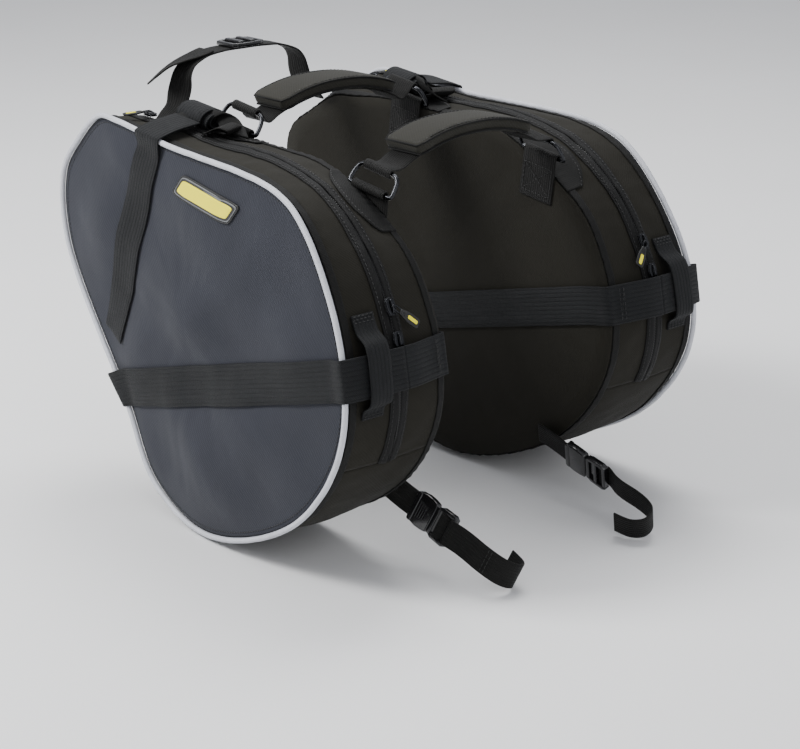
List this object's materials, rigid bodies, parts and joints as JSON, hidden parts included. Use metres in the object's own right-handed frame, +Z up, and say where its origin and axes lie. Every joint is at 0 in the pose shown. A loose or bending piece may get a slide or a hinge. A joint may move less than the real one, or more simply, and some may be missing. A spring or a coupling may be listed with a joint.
{
  "type": "motorcycle saddlebag set",
  "caption": "Pair of soft zippered motorcycle saddlebags joined by two padded seat straps, with compression straps, tail strap and lower side-release straps.",
  "frame": {"origin": "on the seat's centre line, midway between the two padded straps, at the level of their undersides", "axes": "+X towards the front of the motorcycle, +Z up, right bag on the -Y side"},
  "size_m": [0.5692, 0.4636, 0.425],
  "materials": {
    "face_cloth": "woven, dark grey-blue",
    "gusset_cloth": "woven, near black",
    "piping": "light grey, reflective",
    "webbing": "ribbed, dark grey",
    "zipper": "black tape with moulded teeth",
    "metal": "black nickel, satin",
    "plastic": "moulded, semi-gloss black",
    "pull": "moulded, matt black",
    "label": "sewn patch, yellow",
    "pad": "padded, woven, dark"
  },
  "bodies": {
    "yoke": {"front_seat_pad": "pad", "front_seat_webbing": "webbing", "rear_seat_pad": "pad", "rear_seat_webbing": "webbing", "tail_strap": "webbing", "right_front_d_ring": "metal", "right_rear_d_ring": "metal", "left_front_d_ring": "metal", "left_rear_d_ring": "metal"},
    "tail_buckle": {"tail_buckle": "plastic"},
    "right_bag": {"right_back_panel": "gusset_cloth", "right_inner_gusset": "gusset_cloth", "right_bottom_panel": "gusset_cloth", "right_zipper_inner": "zipper", "right_girth_strap_back": "webbing", "right_strap_roll": "webbing", "right_front_ring_tab": "webbing", "right_rear_ring_tab": "webbing", "right_lower_strap": "webbing", "right_buckle_socket": "plastic"},
    "right_lid": {"right_face_panel": "face_cloth", "right_outer_gusset": "gusset_cloth", "right_piping": "piping", "right_zipper_outer": "zipper", "right_girth_strap_face": "webbing", "right_diagonal_strap": "webbing", "right_strap_keeper": "webbing", "right_label_patch": "label"},
    "right_rear_slider": {"right_rear_slider": "metal"},
    "right_rear_pull": {"right_rear_pull": "pull"},
    "right_upper_slider": {"right_upper_slider": "metal"},
    "right_upper_pull": {"right_upper_pull": "pull"},
    "right_lower_slider": {"right_lower_slider": "metal"},
    "right_anchor": {"right_buckle_plug": "plastic", "right_anchor_strap": "webbing"},
    "left_bag": {"left_back_panel": "gusset_cloth", "left_inner_gusset": "gusset_cloth", "left_bottom_panel": "gusset_cloth", "left_zipper_inner": "zipper", "left_girth_strap_back": "webbing", "left_strap_roll": "webbing", "left_front_ring_tab": "webbing", "left_rear_ring_tab": "webbing", "left_lower_strap": "webbing", "left_buckle_socket": "plastic"},
    "left_lid": {"left_face_panel": "face_cloth", "left_outer_gusset": "gusset_cloth", "left_piping": "piping", "left_zipper_outer": "zipper", "left_girth_strap_face": "webbing", "left_diagonal_strap": "webbing", "left_strap_keeper": "webbing", "left_label_patch": "label"},
    "left_rear_slider": {"left_rear_slider": "metal"},
    "left_rear_pull": {"left_rear_pull": "pull"},
    "left_upper_slider": {"left_upper_slider": "metal"},
    "left_upper_pull": {"left_upper_pull": "pull"},
    "left_lower_slider": {"left_lower_slider": "metal"},
    "left_anchor": {"left_buckle_plug": "plastic", "left_anchor_strap": "webbing"}
  },
  "joints": [
    {"name": "tail_buckle_slide", "type": "slide", "parent": "yoke", "child": "tail_buckle", "axis": [0, 1, 0], "range_m": [-0.02, 0.02]},
    {"name": "right_bag_swing", "type": "hinge", "parent": "yoke", "child": "right_bag", "pos_m": [0.096, -0.1108, -0.0435], "axis": [-0.9913, 0, 0.1317], "range_deg": [0, 40]},
    {"name": "right_lid_open", "type": "hinge", "parent": "right_bag", "child": "right_lid", "pos_m": [-0.0144, -0.2209, -0.3827], "axis": [1, 0, 0], "range_deg": [0, 35]},
    {"name": "right_rear_slider_slide", "type": "slide", "parent": "right_bag", "child": "right_rear_slider", "axis": [0.999, -0.0448, 0.0014], "range_m": [0, 0.035]},
    {"name": "right_rear_pull_lift", "type": "hinge", "parent": "right_rear_slider", "child": "right_rear_pull", "pos_m": [-0.1902, -0.14522, -0.01148], "axis": [-1, 0, 0], "range_deg": [0, 90]},
    {"name": "right_upper_slider_slide", "type": "slide", "parent": "right_bag", "child": "right_upper_slider", "axis": [-0.4637, 0.0441, 0.8849], "range_m": [0, 0.03]},
    {"name": "right_upper_pull_lift", "type": "hinge", "parent": "right_upper_slider", "child": "right_upper_pull", "pos_m": [0.18442, -0.16328, -0.12271], "axis": [0.3218, -0.7225, -0.6119], "range_deg": [0, 90]},
    {"name": "right_lower_slider_slide", "type": "slide", "parent": "right_bag", "child": "right_lower_slider", "axis": [0.3354, -0.0409, -0.9412], "range_m": [0, 0.01]},
    {"name": "right_buckle_release", "type": "slide", "parent": "right_bag", "child": "right_anchor", "axis": [0.9654, -0.02, -0.2601], "range_m": [0, 0.03]},
    {"name": "left_bag_swing", "type": "hinge", "parent": "yoke", "child": "left_bag", "pos_m": [0.096, 0.1108, -0.0435], "axis": [0.9913, 0, -0.1317], "range_deg": [0, 40]},
    {"name": "left_lid_open", "type": "hinge", "parent": "left_bag", "child": "left_lid", "pos_m": [-0.0144, 0.2209, -0.3827], "axis": [-1, 0, 0], "range_deg": [0, 35]},
    {"name": "left_rear_slider_slide", "type": "slide", "parent": "left_bag", "child": "left_rear_slider", "axis": [0.999, 0.0448, 0.0014], "range_m": [0, 0.035]},
    {"name": "left_rear_pull_lift", "type": "hinge", "parent": "left_rear_slider", "child": "left_rear_pull", "pos_m": [-0.1902, 0.14522, -0.01148], "axis": [1, 0, 0], "range_deg": [0, 90]},
    {"name": "left_upper_slider_slide", "type": "slide", "parent": "left_bag", "child": "left_upper_slider", "axis": [-0.4637, -0.0441, 0.8849], "range_m": [0, 0.03]},
    {"name": "left_upper_pull_lift", "type": "hinge", "parent": "left_upper_slider", "child": "left_upper_pull", "pos_m": [0.18442, 0.16328, -0.12271], "axis": [-0.3218, -0.7225, 0.6119], "range_deg": [0, 90]},
    {"name": "left_lower_slider_slide", "type": "slide", "parent": "left_bag", "child": "left_lower_slider", "axis": [0.3354, 0.0409, -0.9412], "range_m": [0, 0.01]},
    {"name": "left_buckle_release", "type": "slide", "parent": "left_bag", "child": "left_anchor", "axis": [0.9654, 0.02, -0.2601], "range_m": [0, 0.03]}
  ]
}
